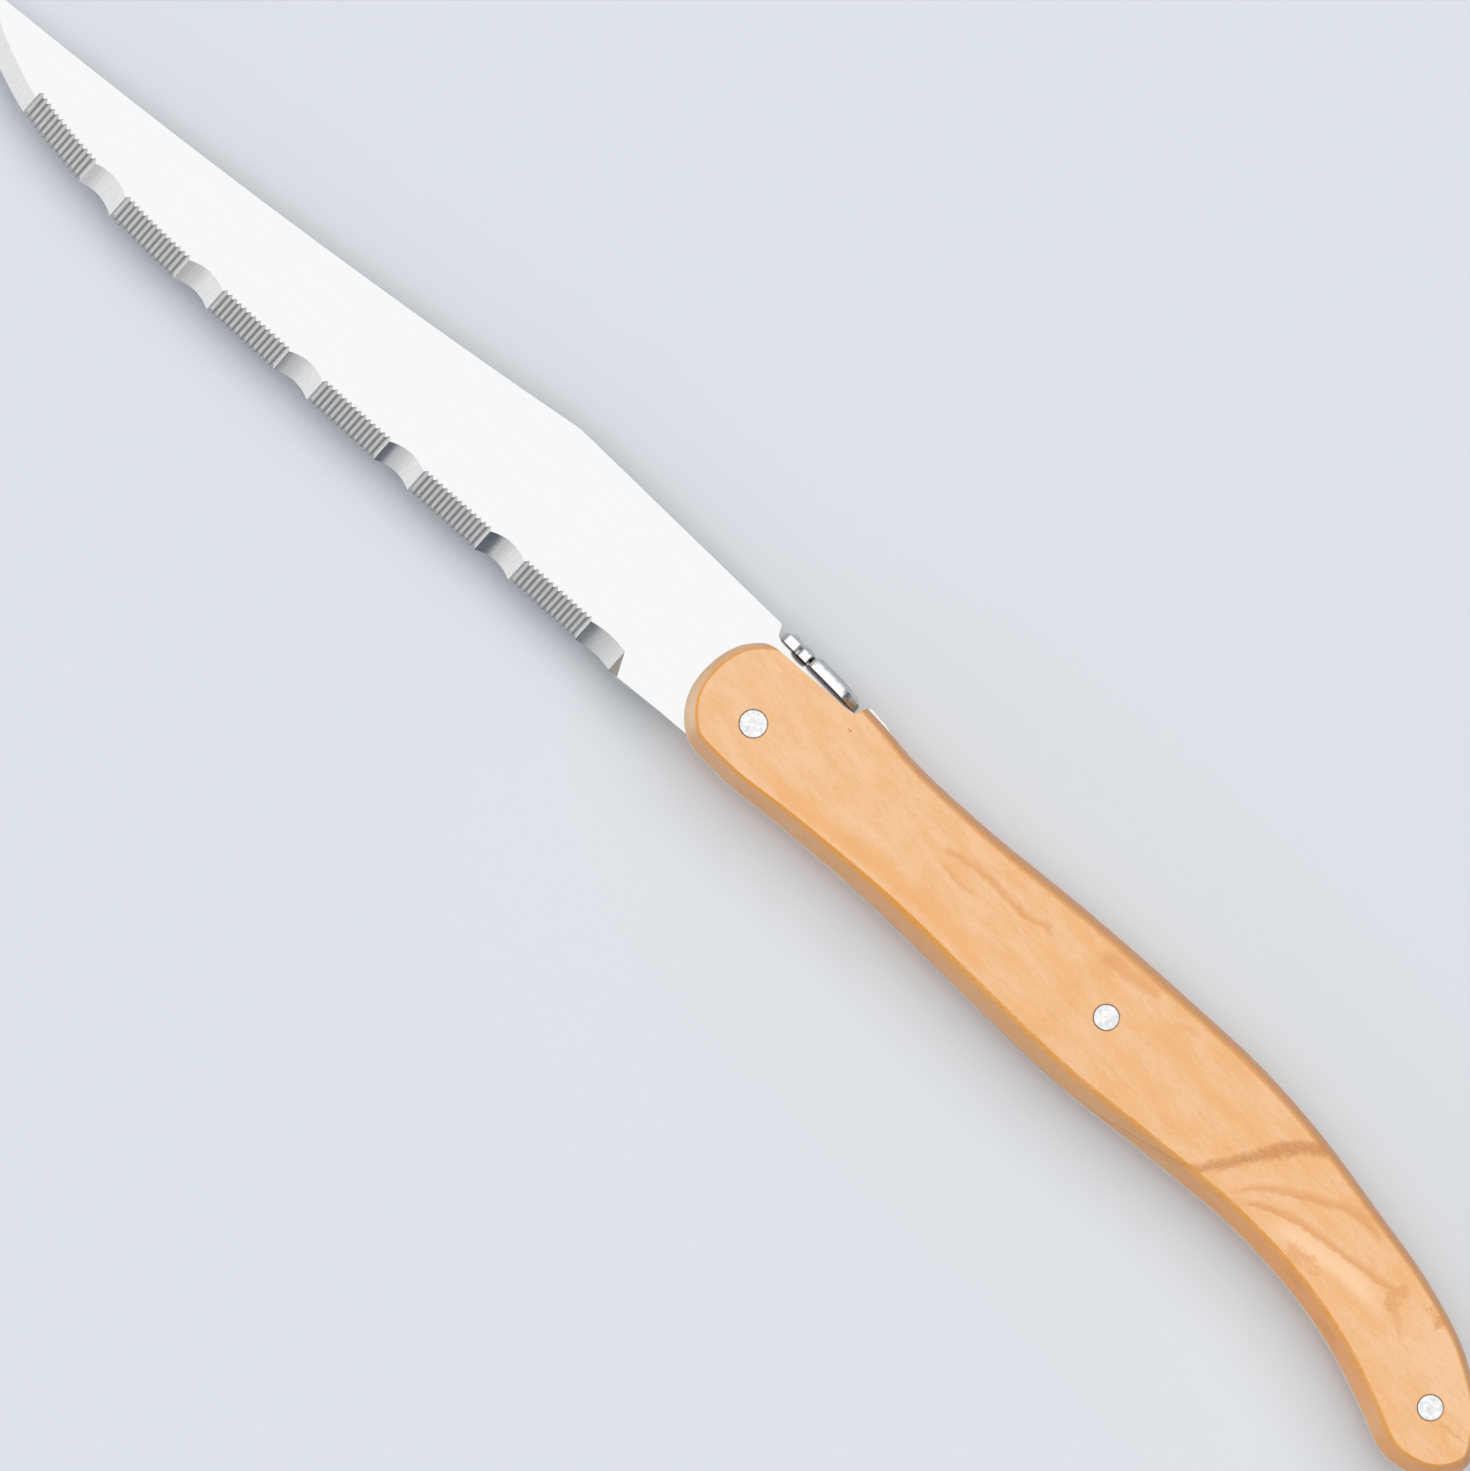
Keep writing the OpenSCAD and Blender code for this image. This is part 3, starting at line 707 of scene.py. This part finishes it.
def add_reflector():
    """A pale card beside the set, brighter towards the tip, which the bevel and the scallops mirror."""
    net = new_material("reflector")
    glow = net.place()[0].drawn(REFLECTOR_GLOW)
    net.set(Base_Color=REFLECTOR, Roughness=0.9, Emission_Color=REFLECTOR_LIGHT, Emission_Strength=glow)
    mirrored_only(add_card("reflector", upright(**REFLECTOR_PLACE), net.owner))


def add_flag():
    """A dark card whose edge shows in the scallops near the handle."""
    net = new_material("flag")
    net.set(Base_Color=FLAG, Roughness=0.9, Specular_IOR_Level=0.1)
    mirrored_only(add_card("flag", upright(**FLAG_PLACE), net.owner))


def add_sky():
    """The room, paler at the tip and the near side, and the soft light, which leans to the knife's back."""
    world = bpy.data.worlds.new("sky")
    bpy.context.scene.world = world
    net = Net(world)
    x, y, z = net.axes(net.add("ShaderNodeTexCoord").outputs["Generated"])
    height = y * math.sin(SOFT_LEAN) + z * math.cos(SOFT_LEAN)
    room = net.mix(x.step(-0.8, 0.2), ROOM_PALE, ROOM_DIM)
    room = net.mix(y.step(-0.9, -0.1, 1.0, 0.0) * x.step(-0.7, -0.3), room, ROOM_NEAR)
    room = net.mix((x + y).step(-1.3, -0.9, 1.0, 0.0), room, ROOM_CORNER)
    light = height.step(math.cos(SOFT_OUTER), math.cos(SOFT_INNER))
    net.set(Color=net.mix(light, room, SOFT_LIGHT), Strength=1.0)


def add_camera():
    """From above, leaning a little towards the cutting edge, with the knife along the picture's diagonal."""
    along = Vector((1, 0, 0))
    across = Vector((0, math.cos(VIEW_LEAN), math.sin(VIEW_LEAN)))
    right = along * math.cos(VIEW_TURN) + across * math.sin(VIEW_TURN)
    up = across * math.cos(VIEW_TURN) - along * math.sin(VIEW_TURN)
    back = right.cross(up)
    data = bpy.data.cameras.new("camera")
    data.sensor_fit = "HORIZONTAL"
    data.sensor_width = SENSOR
    data.lens = SENSOR * VIEW_DISTANCE / VIEW_WIDTH
    data.clip_end = 20
    camera = bpy.data.objects.new("camera", data)
    axes = Matrix((right, up, back)).transposed().to_4x4()
    camera.matrix_world = Matrix.Translation(VIEW_MIDDLE + back * VIEW_DISTANCE) @ axes
    bpy.context.scene.collection.objects.link(camera)
    bpy.context.scene.camera = camera


add_floor()
add_reflector()
add_flag()
add_sky()
add_camera()
bpy.context.scene.view_settings.view_transform = "Standard"
